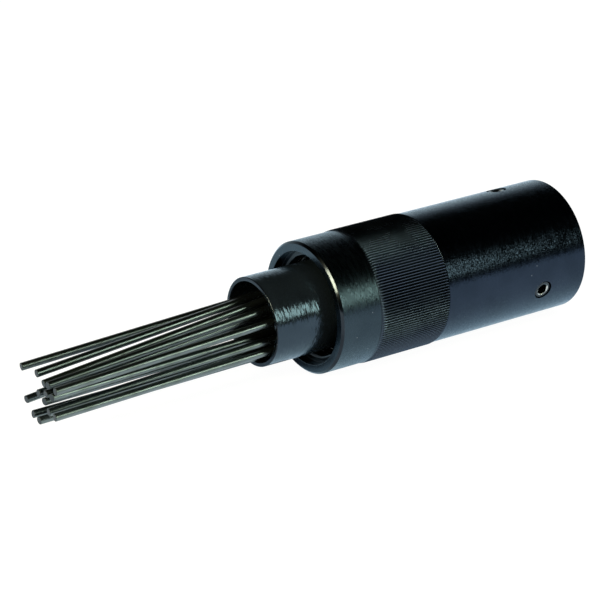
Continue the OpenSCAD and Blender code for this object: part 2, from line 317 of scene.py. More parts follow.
# %% [markdown]
# ## Effects that the finishes share
#
# Four effects come back in the finishes, so each is a node group. Fine lines are what the lathe tool, the
# grinder or the drawing die leaves: noise that is stretched one way. Glitter uses those lines to tilt the
# mirror, mostly along the axis: a bump would tilt it as much both ways and blur the long edges in the
# reflection. Worn edges read a value that the mesh code writes on rounded corners, and break it up with
# noise. The oil film is a slow variation of the gloss, with a few specks of dust.

# %% Fine lines
BROAD_SCALE = 0.17


def make_fine_lines():
    """Fine noise for the lines and their sides, and a broader one for the tone."""
    sizes = {"Along": 0.3 * MM, "Around": 4 * MM}
    group, given = new_group("fine_lines", sizes, ["Height", "Side", "Tone"])
    along = calc(group, "DIVIDE", 1.0, given["Along"])
    around = calc(group, "DIVIDE", 1.0, given["Around"])
    stretch = place(group, "ShaderNodeCombineXYZ", {"X": along, "Y": around, "Z": around}).outputs[0]
    where = place(group, "ShaderNodeTexCoord").outputs["Object"]
    lines = vector_calc(group, "MULTIPLY", where, stretch)
    fine = place(group, "ShaderNodeTexNoise", {"Vector": lines, "Scale": 1, "Detail": 3}).outputs
    broad = place(group, "ShaderNodeTexNoise", {"Vector": lines, "Scale": BROAD_SCALE, "Detail": 2}).outputs
    side = place(group, "ShaderNodeSeparateColor", {0: fine["Color"]}).outputs["Green"]
    place(group, "NodeGroupOutput", {"Height": fine["Fac"], "Side": side, "Tone": broad["Fac"]})
    return group


fine_lines = make_fine_lines()
print("group:", fine_lines.name)

# %% Glitter
NOISE_MIDDLE = 0.5


def make_glitter():
    """Tilts the surface by two noises: much along the tool's axis and less around it."""
    amounts = {"Height": NOISE_MIDDLE, "Side": NOISE_MIDDLE, "Tilt": 0.4, "Roll": 0.1}
    group, given = new_group("turning_glitter", amounts, [])
    group.interface.new_socket("Normal", in_out="OUTPUT", socket_type="NodeSocketVector")
    axis = place(
        group, "ShaderNodeVectorTransform", {"Vector": (1, 0, 0)},
        vector_type="VECTOR", convert_from="OBJECT", convert_to="WORLD",
    ).outputs[0]
    leaning = place(group, "ShaderNodeNewGeometry").outputs["Normal"]
    around = vector_calc(group, "CROSS_PRODUCT", axis, leaning)
    for way, height, amount in ((axis, "Height", "Tilt"), (around, "Side", "Roll")):
        centred = calc(group, "SUBTRACT", given[height], NOISE_MIDDLE)
        angle = calc(group, "MULTIPLY", centred, given[amount])
        lean = place(group, "ShaderNodeVectorMath", {0: way, "Scale": angle}, operation="SCALE").outputs[0]
        leaning = vector_calc(group, "ADD", leaning, lean)
    place(group, "NodeGroupOutput", {"Normal": vector_calc(group, "NORMALIZE", leaning)})
    return group


turning_glitter = make_glitter()
print("group:", turning_glitter.name)

# %% Worn edges
WORN_START, WORN_FULL = 0.2, 0.55


def make_worn_edges():
    """The edge value of the mesh, broken up by noise."""
    group, given = new_group("worn_edges", {"Amount": 1, "Patch": 2 * MM}, ["Mask"])
    edge = place(group, "ShaderNodeAttribute", attribute_name="edge").outputs["Fac"]
    size = calc(group, "DIVIDE", 1.0, given["Patch"])
    where = place(group, "ShaderNodeTexCoord").outputs["Object"]
    patches = place(group, "ShaderNodeTexNoise", {"Vector": where, "Scale": size, "Detail": 4}).outputs["Fac"]
    broken = calc(group, "MULTIPLY", calc(group, "MULTIPLY", edge, given["Amount"]), patches)
    mask = between(group, broken, 0, 1, start=WORN_START, end=WORN_FULL)
    place(group, "NodeGroupOutput", {"Mask": mask})
    return group


worn_edges = make_worn_edges()
print("group:", worn_edges.name)

# %% Oil film and dust
SPECK_CORE, SPECK_END = 0.02, 0.05


def make_oil_film():
    """A slow noise for the film and small dots for the dust."""
    group, given = new_group("oil_film", {"Patch": 12 * MM, "Speck Spacing": 5 * MM}, ["Film", "Specks"])
    where = place(group, "ShaderNodeTexCoord").outputs["Object"]
    size = calc(group, "DIVIDE", 1.0, given["Patch"])
    film = place(group, "ShaderNodeTexNoise", {"Vector": where, "Scale": size, "Detail": 5}).outputs["Fac"]
    density = calc(group, "DIVIDE", 1.0, given["Speck Spacing"])
    dots = place(group, "ShaderNodeTexVoronoi", {"Vector": where, "Scale": density}).outputs["Distance"]
    specks = between(group, dots, 1, 0, start=SPECK_CORE, end=SPECK_END)
    place(group, "NodeGroupOutput", {"Film": film, "Specks": specks})
    return group


oil_film = make_oil_film()
print("group:", oil_film.name)

# %% [markdown]
# ## Blackened steel
#
# The tubes are blackened: a thin dark oxide, sealed with oil, over turned steel. Its mirror is weak and
# bluish when seen straight on and strong at a glancing angle. A dark metal does the same in the shader:
# the base colour is the strength of the mirror, and the glancing gloss comes by itself. The turning lines
# tilt the mirror mostly along the axis, which breaks a highlight into glitter but leaves the table's edge
# sharp.
#
# On the nose a little of the oxide is loose and scatters the light, which lifts its dark side. There the
# shader is not quite all metal.

# %% Blackened steel
BARE_STEEL = (0.46, 0.46, 0.43, 1)
DUST = (0.2, 0.21, 0.22, 1)
EDGE_BLUE = (0.82, 0.93, 1, 1)
LOOSE_MIRROR = 0.25


def new_material(name):
    """A material with one principled shader, and its node tree."""
    material = bpy.data.materials.new(name)
    material.use_nodes = True
    tree = material.node_tree
    tree.nodes.clear()
    shader = place(tree, "ShaderNodeBsdfPrincipled")
    place(tree, "ShaderNodeOutputMaterial", {"Surface": shader.outputs[0]})
    return material, tree, shader


def blackened_steel(name, dark, pale, gloss, lines, tilt, wear, roll=0.0, loose=0.0):
    """Oxide from dark to pale, roughness from gloss, and the size of its lines along and around the axis."""
    material, tree, shader = new_material(name)
    marks = use(tree, fine_lines, Along=lines[0], Around=lines[1])
    film = use(tree, oil_film)
    bare = use(tree, worn_edges, Amount=wear)["Mask"]
    oxide = blend(tree, spread(tree, film["Film"], 0, 1), dark, pale)
    dusty = blend(tree, film["Specks"], oxide, DUST)
    glitter = use(
        tree, turning_glitter,
        Height=marks["Height"], Side=marks["Side"], Tilt=tilt, Roll=roll,
    )["Normal"]
    tree.links.new(blend(tree, bare, dusty, BARE_STEEL), shader.inputs["Base Color"])
    tree.links.new(spread(tree, marks["Tone"], *gloss), shader.inputs["Roughness"])
    tree.links.new(glitter, shader.inputs["Normal"])
    shader.inputs["Metallic"].default_value = 1 - loose
    shader.inputs["Specular IOR Level"].default_value = LOOSE_MIRROR
    shader.inputs["Specular Tint"].default_value = EDGE_BLUE
    return material


tube_finish = blackened_steel(
    "black_oxide_tube", dark=(0.018, 0.025, 0.038, 1), pale=(0.022, 0.030, 0.046, 1),
    gloss=(0.15, 0.24), lines=(0.2 * MM, 0.7 * MM), tilt=0.55, wear=0.2, roll=0.22,
)
sleeve_finish = blackened_steel(
    "black_oxide_sleeve", dark=(0.026, 0.037, 0.047, 1), pale=(0.031, 0.044, 0.055, 1),
    gloss=(0.24, 0.32), lines=(0.2 * MM, 0.8 * MM), tilt=0.65, wear=0.2, roll=0.3,
)
# The recess in the sleeve's mouth is painted near black as shade.
shaded_mouth_finish = blackened_steel(
    "shaded_recess", dark=(0.006, 0.007, 0.008, 1), pale=(0.016, 0.018, 0.02, 1),
    gloss=(0.1, 0.22), lines=(2 * MM, 3 * MM), tilt=0.8, wear=0,
)
nose_finish = blackened_steel(
    "black_oxide_nose", dark=(0.028, 0.040, 0.054, 1), pale=(0.035, 0.049, 0.065, 1),
    gloss=(0.12, 0.22), lines=(0.35 * MM, 2.4 * MM), tilt=0.42, wear=0.3, roll=0.32, loose=0.14,
)
# The nose's front rim and the sleeve's front bevel are painted darker than the oxide as shade.
shaded_rim_finish = blackened_steel(
    "shaded_rims", dark=(0.014, 0.016, 0.02, 1), pale=(0.024, 0.028, 0.034, 1),
    gloss=(0.12, 0.22), lines=(0.45 * MM, 1.6 * MM), tilt=0.2, wear=0.4,
)
print("finishes:", tube_finish.name, sleeve_finish.name, shaded_mouth_finish.name, nose_finish.name, shaded_rim_finish.name)

# %% Knurled steel
# The grooves are painted near black as shade, and the crests are painted slate as a highlight.
SHADED_GROOVE_DARK, SHADED_GROOVE_PALE = (0.003, 0.004, 0.005, 1), (0.008, 0.01, 0.012, 1)
LIT_RIDGE_CREST = (0.085, 0.106, 0.142, 1)
KNURL_GLOSS = (0.22, 0.34)


def knurled_steel():
    """Grooves painted near black as shade, and thin slate lines painted on the crests of the ridges as a
    highlight.
    """
    material, tree, shader = new_material("black_oxide_knurl")
    crest_highlight_share = place(tree, "ShaderNodeAttribute", attribute_name="edge").outputs["Fac"]
    film = use(tree, oil_film)
    shaded_groove = blend(tree, film["Film"], SHADED_GROOVE_DARK, SHADED_GROOVE_PALE)
    tree.links.new(blend(tree, crest_highlight_share, shaded_groove, LIT_RIDGE_CREST), shader.inputs["Base Color"])
    tree.links.new(spread(tree, film["Film"], *KNURL_GLOSS), shader.inputs["Roughness"])
    shader.inputs["Metallic"].default_value = 1
    shader.inputs["Specular Tint"].default_value = EDGE_BLUE
    return material


knurl_finish = knurled_steel()
print("finish:", knurl_finish.name)

# %% [markdown]
# ## Needles, screws, spring and the inner pieces
#
# The needles are drawn wire, so their fine lines run along them, and their cut ends are dull and grainy.
# The mesh code marks the cut ends with a value of their own. The other pieces are small: oiled spring
# steel, ground hard steel, bronze and rubber, each with its own lines and gloss.

# %% Needle wire
WIRE_DARK, WIRE_PALE = (0.1, 0.118, 0.122, 1), (0.136, 0.156, 0.158, 1)
WIRE_OILY = (0.08, 0.095, 0.086, 1)
OIL_START, OIL_COVER = 0.45, 0.6
WIRE_GLOSS = (0.27, 0.34)
CUT_DARK, CUT_PALE = (0.016, 0.02, 0.024, 1), (0.06, 0.07, 0.08, 1)
CUT_ROUGHNESS = 0.55
CUT_GRAIN_SCALE = 4000
FINE_RELIEF = 0.02 * MM


def needle_steel():
    """Drawn wire with oily patches, and grainy cut ends."""
    material, tree, shader = new_material("needle_wire")
    marks = use(tree, fine_lines, Along=14 * MM, Around=1.2 * MM)
    bare = use(tree, worn_edges, Amount=0.4, Patch=0.8 * MM)["Mask"]
    film = use(tree, oil_film, Patch=9 * MM, Speck_Spacing=4 * MM)["Film"]
    cut = place(tree, "ShaderNodeAttribute", attribute_name="cut").outputs["Fac"]
    where = place(tree, "ShaderNodeTexCoord").outputs["Object"]
    grain_inputs = {"Vector": where, "Scale": CUT_GRAIN_SCALE, "Detail": 3}
    grain = place(tree, "ShaderNodeTexNoise", grain_inputs).outputs["Fac"]
    wire = blend(tree, spread(tree, marks["Tone"], 0, 1), WIRE_DARK, WIRE_PALE)
    cover = between(tree, film, 0, OIL_COVER, start=OIL_START, end=NOISE_HIGH)
    oily = blend(tree, cover, wire, WIRE_OILY)
    face = blend(tree, grain, CUT_DARK, CUT_PALE)
    colour = blend(tree, bare, blend(tree, cut, oily, face), BARE_STEEL)
    gloss = spread(tree, film, *WIRE_GLOSS)
    rough = place(tree, "ShaderNodeMix", {0: cut, 2: gloss, 3: CUT_ROUGHNESS}).outputs[0]
    relief = calc(tree, "MULTIPLY", cut, grain)
    bump = place(tree, "ShaderNodeBump", {"Height": relief, "Distance": FINE_RELIEF, "Strength": 1})
    tree.links.new(colour, shader.inputs["Base Color"])
    tree.links.new(rough, shader.inputs["Roughness"])
    tree.links.new(bump.outputs[0], shader.inputs["Normal"])
    shader.inputs["Metallic"].default_value = 1
    return material


needle_finish = needle_steel()
print("finish:", needle_finish.name)

# %% Small steel pieces
screw_finish = blackened_steel(
    "black_screw", dark=(0.030, 0.033, 0.038, 1), pale=(0.05, 0.053, 0.058, 1),
    gloss=(0.2, 0.32), lines=(0.2 * MM, 2 * MM), tilt=0.05, wear=1.2,
)
spring_finish = blackened_steel(
    "oiled_spring_steel", dark=(0.11, 0.12, 0.12, 1), pale=(0.19, 0.2, 0.2, 1),
    gloss=(0.18, 0.3), lines=(0.6 * MM, 0.6 * MM), tilt=0.1, wear=0.8,
)
hard_finish = blackened_steel(
    "ground_hard_steel", dark=(0.2, 0.21, 0.215, 1), pale=(0.3, 0.31, 0.32, 1),
    gloss=(0.2, 0.34), lines=(0.25 * MM, 8 * MM), tilt=0.2, wear=0.7,
)
bronze_finish = blackened_steel(
    "turned_bronze", dark=(0.28, 0.17, 0.06, 1), pale=(0.42, 0.27, 0.1, 1),
    gloss=(0.25, 0.4), lines=(0.3 * MM, 8 * MM), tilt=0.2, wear=0.4,
)
print("finishes:", screw_finish.name, spring_finish.name, hard_finish.name, bronze_finish.name)

# %% Rubber
RUBBER_DARK, RUBBER_PALE = (0.012, 0.012, 0.012, 1), (0.03, 0.03, 0.029, 1)
RUBBER_DUST = (0.12, 0.12, 0.115, 1)
RUBBER_ROUGHNESS = (0.55, 0.8)


def buffer_rubber():
    """Matte black rubber with a fine grain and some dust."""
    material, tree, shader = new_material("black_rubber")
    film = use(tree, oil_film, Patch=3 * MM, Speck_Spacing=2 * MM)
    marks = use(tree, fine_lines, Along=0.4 * MM, Around=0.4 * MM)
    worn = blend(tree, film["Film"], RUBBER_DARK, RUBBER_PALE)
    bump = place(tree, "ShaderNodeBump", {"Height": marks["Height"], "Distance": FINE_RELIEF, "Strength": 1})
    tree.links.new(blend(tree, film["Specks"], worn, RUBBER_DUST), shader.inputs["Base Color"])
    tree.links.new(between(tree, marks["Tone"], *RUBBER_ROUGHNESS), shader.inputs["Roughness"])
    tree.links.new(bump.outputs[0], shader.inputs["Normal"])
    return material


rubber_finish = buffer_rubber()
print("finish:", rubber_finish.name)

# %% [markdown]
# ## Turned shapes
#
# A turned piece is an outline spun round the axis. Blender's Screw modifier could do that, but a few lines
# of mesh code can do more: they round every corner with an arc, write the worn-edge value on the arcs, and
# take a ring whose radius changes with the angle, which gives ridges, hexagons and threads.
#
# A weighted normal modifier then keeps the large faces flat in the mirror, so that only the small arcs
# bend the reflection.

# %% Rounded outlines
ARC_STEPS = 6


def rounded(corners):
    """Turns corners (x, radius, rounding) in mm into points (x, radius, edge) with arcs on the corners."""
    points = []
    for i, (x, radius, rounding) in enumerate(corners):
        if not rounding:
            points.append((x, radius, 0.0))
            continue
        corner = complex(x, radius)
        before = complex(*corners[i - 1][:2]) - corner
        after = complex(*corners[(i + 1) % len(corners)][:2]) - corner
        before, after = before / abs(before), after / abs(after)
        half = abs(cmath.phase(after / before)) / 2
        centre = corner + (before + after) / abs(before + after) * rounding / math.sin(half)
        start = corner + before * rounding / math.tan(half) - centre
        end = corner + after * rounding / math.tan(half) - centre
        sweep = cmath.phase(end / start)
        for k in range(ARC_STEPS + 1):
            point = centre + start * cmath.rect(1, sweep * k / ARC_STEPS)
            points.append((point.real, point.imag, math.sin(math.pi * k / ARC_STEPS)))
    return points


print("a square corner gets", len(rounded([(0, 1, 0), (0, 2, 0.2), (1, 2, 0)])) - 2, "arc points")

# %% Turned pieces
def turned(name, outline, segments, closed=True):
    """Spins an outline of points (x, radius, edge) in mm round X. Radius and edge may follow the angle."""
    mesh = bmesh.new()
    edge_value = mesh.verts.layers.float.new("edge")
    rings = []
    for x, radius, edge in outline:
        angles = [0.0] if radius == 0 else [2 * math.pi * k / segments for k in range(segments)]
        ring = []
        for angle in angles:
            r = radius(angle) if callable(radius) else radius
            vertex = mesh.verts.new((x * MM, r * MM * math.cos(angle), r * MM * math.sin(angle)))
            vertex[edge_value] = edge(angle) if callable(edge) else edge
            ring.append(vertex)
        rings.append(ring)
    for ring, following in zip(rings, rings[1:] + (rings[:1] if closed else [])):
        for k in range(segments):
            pair = [ring[k % len(ring)], ring[(k + 1) % len(ring)]]
            other = [following[(k + 1) % len(following)], following[k % len(following)]]
            mesh.faces.new(dict.fromkeys(pair + other))
    return piece_from(name, mesh)


def piece_from(name, mesh):
    """Makes an object from mesh code, with its faces turned outwards."""
    bmesh.ops.recalc_face_normals(mesh, faces=mesh.faces)
    data = bpy.data.meshes.new(name)
    mesh.to_mesh(data)
    mesh.free()
    piece = bpy.data.objects.new(name, data)
    scene.collection.objects.link(piece)
    return piece


def cut_away(piece, cutters):
    """Cuts other pieces out of a piece and removes them."""
    for cutter in cutters:
        modifier = piece.modifiers.new(cutter.name, "BOOLEAN")
        modifier.operation = "DIFFERENCE"
        modifier.solver = "EXACT"
        modifier.object = cutter
    cut = bpy.data.meshes.new_from_object(piece.evaluated_get(bpy.context.evaluated_depsgraph_get()))
    piece.modifiers.clear()
    piece.data = cut
    for cutter in cutters:
        bpy.data.objects.remove(cutter)


print("turned pieces ready")

# %% Pieces that stand for CAD nodes
SHARP_ANGLE = math.radians(40)
body_of = {node: body for body, nodes in frame["record"]["behaviour"]["bodies"].items() for node in nodes}
mounts = {mount["name"]: mount for mount in frame["record"]["mounts"]}
joints = {joint["name"]: joint for joint in frame["joints"]}


def stand_for(piece, node, material):
    """Smooths a piece, gives it its finish, and puts it on its body in place of a CAD node."""
    piece.data.shade_smooth()
    piece.data.set_sharp_from_angle(angle=SHARP_ANGLE)
    normals = piece.modifiers.new("flat faces stay flat", "WEIGHTED_NORMAL")
    normals.keep_sharp = True
    piece.data.materials.clear()
    piece.data.materials.append(material)
    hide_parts(node)
    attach(piece, body_of[node])
    print(piece.name, "stands for", node, "with", len(piece.data.vertices), "vertices")


def reach(node):
    """Front, rear and outer radius of a turned CAD node, in mm."""
    low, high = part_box(node)
    return low.x / MM, high.x / MM, high.y / MM


print("bodies:", len(set(body_of.values())), "joints:", len(joints), "mounts:", list(mounts))

# %% [markdown]
# ## Rear tube
#
# The adapter is one turned tube: a socket for the hammer's barrel at the rear, a bore for the anvil and
# its bush, and a spigot under the sleeve. Its three screw holes are cut with boolean modifiers. Extra rings
# on both sides of the holes keep the cut's odd faces in a short stretch of the tube.

# %% Screw places
SCREW_NODES = [node for node in frame["nodes"] if node.startswith("set_screw")]
SCREW_HOLE = 4.0
HOLE_FLARE = 0.1
HOLE_ROOM = 6.0


def screw_turn(node):
    """A matrix that turns +X to the outward direction of a set screw, at its place along the tool."""
    low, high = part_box(node)
    outward = -Vector(joints[node + "_drive"]["axis"])
    along = Vector((1, 0, 0))
    turn = Matrix((outward, along, outward.cross(along))).transposed().to_4x4()
    return Matrix.Translation(((low.x + high.x) / 2, 0, 0)) @ turn


screw_x = screw_turn(SCREW_NODES[0]).translation.x / MM
print("screws:", SCREW_NODES, "at", round(screw_x, 1), "mm")

# %% Rear tube
body_front, body_rear, body_r = reach("adapter_body")
shoulder_front = reach("front_sleeve")[1]
guide_front, guide_rear, guide_r = reach("anvil_guide")
clip_front, clip_rear, clip_r = reach("guide_circlip")
socket_r = mounts["hammer_socket"]["dims"]["r_mm"]
socket_floor = -mounts["hammer_socket"]["dims"]["length_mm"]
SEAT_GAP = 0.1
SPIGOT_R = 22.9
RELIEF_R = 15.0
cavity_r = guide_r + SEAT_GAP
groove_r = clip_r + SEAT_GAP

rear_tube = turned("rear_tube", rounded([
    (body_rear, socket_r, 0.4),
    (body_rear, body_r, 0.45),
    (screw_x + HOLE_ROOM, body_r, 0),
    (screw_x - HOLE_ROOM, body_r, 0),
    (shoulder_front, body_r, 0.35),
    (shoulder_front, SPIGOT_R, 0),
    (body_front, SPIGOT_R, 0.5),
    (body_front, cavity_r, 0.3),
    (clip_front - SEAT_GAP, cavity_r, 0),
    (clip_front - SEAT_GAP, groove_r, 0),
    (clip_rear + SEAT_GAP, groove_r, 0),
    (clip_rear + SEAT_GAP, cavity_r, 0),
    (guide_rear + SEAT_GAP, cavity_r, 0),
    (guide_rear + SEAT_GAP, RELIEF_R, 0.3),
    (socket_floor, RELIEF_R, 0.4),
    (socket_floor, socket_r, 0),
    (screw_x - HOLE_ROOM, socket_r, 0),
    (screw_x + HOLE_ROOM, socket_r, 0),
]), segments=384)


def hole_cutter(node):
    """A drill with a small flare where it leaves the tube."""
    cutter = turned(node + "_drill", [
        (0, 0, 0),
        (0, SCREW_HOLE, 0),
        (body_r - HOLE_FLARE, SCREW_HOLE, 0),
        (body_r + HOLE_FLARE, SCREW_HOLE + 2 * HOLE_FLARE, 1),
        (body_r + HOLE_FLARE, 0, 0),
    ], segments=64, closed=False)
    cutter.matrix_world = screw_turn(node)
    return cutter


cut_away(rear_tube, [hole_cutter(node) for node in SCREW_NODES])
stand_for(rear_tube, "adapter_body", tube_finish)

# %% [markdown]
# ## Knurled sleeve
#
# The sleeve screws on the tube and holds the spring in. Its grip is a straight knurl of 150 fine ridges. A
# bump map could fake them, but the ridges show on the outline and each one mirrors the studio, so they are
# real: the rings of the knurled stretch follow a wave instead of a circle. At the front, where the
# knurling wheel was pressed in, each ridge rises in a length of its own.

# %% Ridges of the knurl
sleeve_front, sleeve_rear, ridge_r = reach("front_sleeve")
RIDGES = 150
RIDGE_SAMPLES = 8
RIDGE_DEPTH = 0.42
KNURL_LENGTH = 32.5
RUNOUT_LENGTH = 3.0
RUNOUT_SPREAD = 0.5
RUNOUT_RINGS = 6
# Share of the painted crest highlight on the knurl where the ridges have not risen yet.
PLAIN_HIGHLIGHT = 0.33
CREST_POWER = 4
REAR_BEVEL = 0.2
knurl_front = sleeve_rear - KNURL_LENGTH


def eased(share):
    """A share between 0 and 1, with a soft start and a soft end."""
    share = min(max(share, 0), 1)
    return share * share * (3 - 2 * share)


def ridge_height(angle):
    """Height on the knurl, from 0 in a groove to 1 on a ridge, with a ridge at angle 0."""
    tooth = abs(2 * (angle * RIDGES / (2 * math.pi) % 1) - 1)
    return eased(tooth)


def ridge_radius(angle):
    """Radius of the full knurl."""
    return ridge_r - RIDGE_DEPTH * (1 - ridge_height(angle))


def ridge_highlight(angle):
    """Painted highlight of the full knurl, which is high on the crests alone."""
    return ridge_height(angle) ** CREST_POWER


def run_out(x):
    """A ring at the start of the ridges, where each of them rises in a length of its own."""
    def rise(angle):
        where = Vector((math.cos(angle), math.sin(angle), 0)) * ridge_r
        length = RUNOUT_LENGTH * (1 - RUNOUT_SPREAD * (1 + noise.noise(where)) / 2)
        return eased((x - knurl_front) / length)

    def radius(angle):
        return body_r + rise(angle) * (ridge_radius(angle) - body_r)

    # The painted crest highlight rises with the ridges.
    def wear(angle):
        return PLAIN_HIGHLIGHT + rise(angle) * (ridge_highlight(angle) - PLAIN_HIGHLIGHT)

    return x, radius, wear


knurl = [run_out(knurl_front + RUNOUT_LENGTH * k / RUNOUT_RINGS) for k in range(1, RUNOUT_RINGS + 1)]
knurl.append((sleeve_rear - 2 * REAR_BEVEL, ridge_radius, ridge_highlight))
print("knurl:", RIDGES, "ridges on", len(knurl), "rings")

# %% Knurled sleeve
washer_front, washer_rear, washer_r = reach("spring_washer")
MOUTH_R = 22.2
MOUTH_DEPTH = 3.8
LIP_R = 19.2
CHAMBER_GAP = 0.45
FRONT_BEVEL = 0.9
chamber_r = washer_r + CHAMBER_GAP

front_end = rounded([
    (washer_front - SEAT_GAP, LIP_R, 0),
    (sleeve_front + MOUTH_DEPTH, LIP_R, 1.5),
    (sleeve_front + MOUTH_DEPTH, MOUTH_R, 0.25),
    (sleeve_front, MOUTH_R, 0.3),
    (sleeve_front, body_r - FRONT_BEVEL, 0.25),
    (sleeve_front + FRONT_BEVEL, body_r, 0.35),
    (knurl_front, body_r, 0),
])
rear_end = rounded([
    (sleeve_rear - 2 * REAR_BEVEL, ridge_r, 0),
    (sleeve_rear, body_r - REAR_BEVEL, 0.15),
    (sleeve_rear, chamber_r, 0.3),
    (washer_front - SEAT_GAP, chamber_r, 0),
    (washer_front - SEAT_GAP, LIP_R, 0),
])[1:-1]
sleeve = turned("knurled_sleeve", front_end + knurl + rear_end, segments=RIDGES * RIDGE_SAMPLES)
stand_for(sleeve, "front_sleeve", sleeve_finish)

# %% Finishes of the sleeve
KNURL, MOUTH, RIM = 1, 2, 3
SLEEVE_SKIN = 1.0
for extra_finish in (knurl_finish, shaded_mouth_finish, shaded_rim_finish):
    sleeve.data.materials.append(extra_finish)
for face in sleeve.data.polygons:
    x, radius = face.center.x / MM, math.hypot(*face.center.yz) / MM
    if radius > chamber_r + SLEEVE_SKIN and knurl_front < x < sleeve_rear - REAR_BEVEL:
        face.material_index = KNURL
    # The mouth's recess gets the painted shade.
    elif radius < MOUTH_R + SEAT_GAP and x > sleeve_front + SEAT_GAP:
        face.material_index = MOUTH
    # The sleeve's front bevel gets the painted shade of the rims.
    elif radius > body_r - FRONT_BEVEL and x < sleeve_front + FRONT_BEVEL:
        face.material_index = RIM
print("sleeve finishes:", [material.name for material in sleeve.data.materials])

# %% [markdown]
# ## Nose tube
#
# The nose tube slides in the sleeve with the needles. Further back, hidden in the sleeve, it has a flange
# for the spring and a guide that stays in the rear tube. Its thin front rim is painted almost black as shade,
# with a line rubbed bright on its edges.

# %% Nose tube
nose_front, nose_rear, flange_r = reach("nose_tube")
holder_front, holder_rear, holder_r = reach("needle_holder")
holder_clip_front, holder_clip_rear, holder_clip_r = reach("holder_circlip")
NOSE_R = 17.4
NOSE_BORE = 15.8
NOSE_RIM = 0.4
TAIL_R = 18.3
FLANGE_LENGTH = 5.5
flange_rear = body_front - SEAT_GAP
seat_r = holder_r + SEAT_GAP

nose = turned("nose_tube_turned", rounded([
    (nose_front, NOSE_BORE, 0.3),
    (nose_front, NOSE_R, 0.35),
    (flange_rear - FLANGE_LENGTH, NOSE_R, 0),
    (flange_rear - FLANGE_LENGTH, flange_r, 0.3),
    (flange_rear, flange_r, 0.3),
    (flange_rear, TAIL_R, 0),
    (nose_rear, TAIL_R, 0.3),
    (nose_rear, seat_r, 0.3),
    (holder_clip_rear + SEAT_GAP, seat_r, 0),
    (holder_clip_rear + SEAT_GAP, holder_clip_r + SEAT_GAP, 0),
    (holder_clip_front - SEAT_GAP, holder_clip_r + SEAT_GAP, 0),
    (holder_clip_front - SEAT_GAP, seat_r, 0),
    (holder_front - SEAT_GAP, seat_r, 0),
    (holder_front - SEAT_GAP, NOSE_BORE, 0),
]), segments=320)
stand_for(nose, "nose_tube", nose_finish)
# The nose's front rim gets the painted shade.
nose.data.materials.append(shaded_rim_finish)
shaded_rim_index = len(nose.data.materials) - 1
for face in nose.data.polygons:
    if face.center.x / MM < nose_front + NOSE_RIM:
        face.material_index = shaded_rim_index

# %% [markdown]
# ## Needles
#
# Each needle is a length of wire with a head behind the holder. They hang loosely and each leans its own
# way. The joint that lets a needle slide gives its direction, and the CAD mesh gives its two ends. The tips
# are cut with shears, so each cut face is a little slanted and uneven, and no two are alike.

# %% Needle places
NEEDLE_NODES = sorted(node for node in frame["nodes"] if node.startswith("needle_") and node[-1].isdigit())
TIP_TOLERANCE = 0.01 * MM


def needle_place(node):
    """Tip, direction and length of a needle, in metres."""
    axis = Vector(joints[node + "_slide"]["axis"]).normalized()
    corners = [vertex.co for vertex in frame["nodes"][node].data.vertices]
    places = [corner.dot(axis) for corner in corners]
    tip_corners = [corner for corner, at in zip(corners, places) if at < min(places) + TIP_TOLERANCE]
    tip = sum(tip_corners, Vector()) / len(tip_corners)
    return tip, axis, max(places) - min(places)


print("needles:", len(NEEDLE_NODES))

# %% Needles
NEEDLE_R = 1.5
HEAD_R = 2.35
HEAD_LENGTH = 3.2
TIP_ROUNDING = 0.22
CUT_RING_SHARES = (0.4, 0.7)
CUT_SLANT, LEAST_SLANT_SHARE = 0.12, 0.2
CUT_RELIEF, CUT_WAVES = 0.05, 2
NEEDLE_SEED = 13
cut_edge = NEEDLE_R - TIP_ROUNDING / 8


def make_needle(node, chance):
    """Turns a needle, roughens its cut and lays it along its joint."""
    tip, axis, length = needle_place(node)
    length /= MM
    cut_rings = [(0, share * NEEDLE_R, 0) for share in CUT_RING_SHARES]
    needle = turned(node + "_wire", rounded([
        (0, 0, 0),
        *cut_rings,
        (0, NEEDLE_R, TIP_ROUNDING),
        (length - HEAD_LENGTH, NEEDLE_R, 0),
        (length - HEAD_LENGTH, HEAD_R, 0.3),
        (length, HEAD_R, 0.5),
        (length, 0, 0),
    ]), segments=40, closed=False)
    cut = needle.data.attributes.new("cut", "FLOAT", "POINT")
    slant_way = chance.uniform(0, 2 * math.pi)
    slant = CUT_SLANT * chance.uniform(LEAST_SLANT_SHARE, 1)
    for vertex in needle.data.vertices:
        x, y, z = vertex.co / MM
        if x > NEEDLE_R:
            continue
        cut.data[vertex.index].value = 1.0 if math.hypot(y, z) < cut_edge else 0.0
        lean = slant * (y * math.cos(slant_way) + z * math.sin(slant_way))
        rough = CUT_RELIEF * (1 + noise.noise(Vector((y, z, slant_way)) * CUT_WAVES))
        vertex.co.x += (lean + rough) * MM
    turn = axis.to_track_quat("X", "Z").to_matrix().to_4x4()
    roll = Matrix.Rotation(chance.uniform(0, 2 * math.pi), 4, "X")
    needle.matrix_world = Matrix.Translation(tip) @ turn @ roll
    stand_for(needle, node, needle_finish)


needle_chance = Random(NEEDLE_SEED)
for needle_node in NEEDLE_NODES:
    make_needle(needle_node, needle_chance)

# %% [markdown]
# ## Set screws
#
# Three hexagon-socket screws clamp the barrel. Their thread is a ring-by-ring wave that turns with the
# height, cut back by a cone at both ends. The hexagon is a ring whose radius follows a six-sided outline.
# The rim round the hexagon is rubbed bright by the key.

# %% Threads and hexagons
THREAD_R = 3.95
THREAD_PITCH = 1.25
THREAD_DEPTH = 0.55


def hexagon(half):
    """Radius of a hexagon with the given half width across its flats."""
    return lambda angle: half / math.cos((angle + math.pi / 6) % (math.pi / 3) - math.pi / 6)


def thread(x, limit):
    """Radius of the thread at one height, cut back to a limit."""
    def radius(angle):
        turn = (x / THREAD_PITCH - angle / (2 * math.pi)) % 1
        return min(limit, THREAD_R - THREAD_DEPTH * abs(2 * turn - 1))
    return radius


